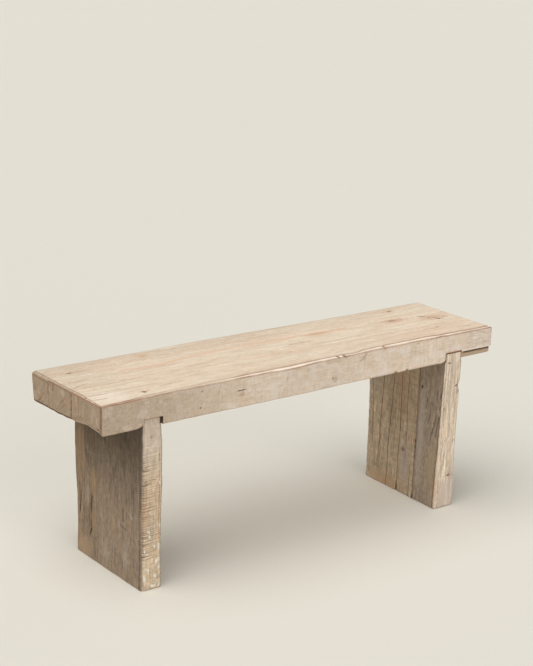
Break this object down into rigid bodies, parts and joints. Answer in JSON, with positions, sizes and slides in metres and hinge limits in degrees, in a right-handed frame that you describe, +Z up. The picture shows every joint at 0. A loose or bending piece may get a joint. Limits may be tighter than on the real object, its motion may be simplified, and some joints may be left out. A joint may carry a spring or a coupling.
{
  "type": "slab bench",
  "caption": "Low backless bench of reclaimed softwood: a thick board seat housed over upright slab legs, with blind dowelled and tenoned glue joints.",
  "frame": {"origin": "on the floor, under the middle of the bench", "axes": "+X along the bench, +Z up, front face towards -Y"},
  "size_m": [1.126, 0.284, 0.45],
  "materials": {
    "seat_wood": "bleached, bare and matte",
    "leg_wood": "weathered, bare and matte",
    "joint_wood": "plain beech, unfinished"
  },
  "bodies": {
    "root": {"top_front_board": "seat_wood", "top_middle_board": "seat_wood", "top_rear_board": "seat_wood", "left_leg_front_board": "leg_wood", "left_leg_rear_board": "leg_wood", "right_leg_front_board": "leg_wood", "right_leg_rear_board": "leg_wood", "left_leg_tenons": "joint_wood", "right_leg_tenons": "joint_wood", "top_front_seam_dowels": "joint_wood", "top_rear_seam_dowels": "joint_wood", "left_leg_seam_dowels": "joint_wood", "right_leg_seam_dowels": "joint_wood"}
  },
  "joints": []
}
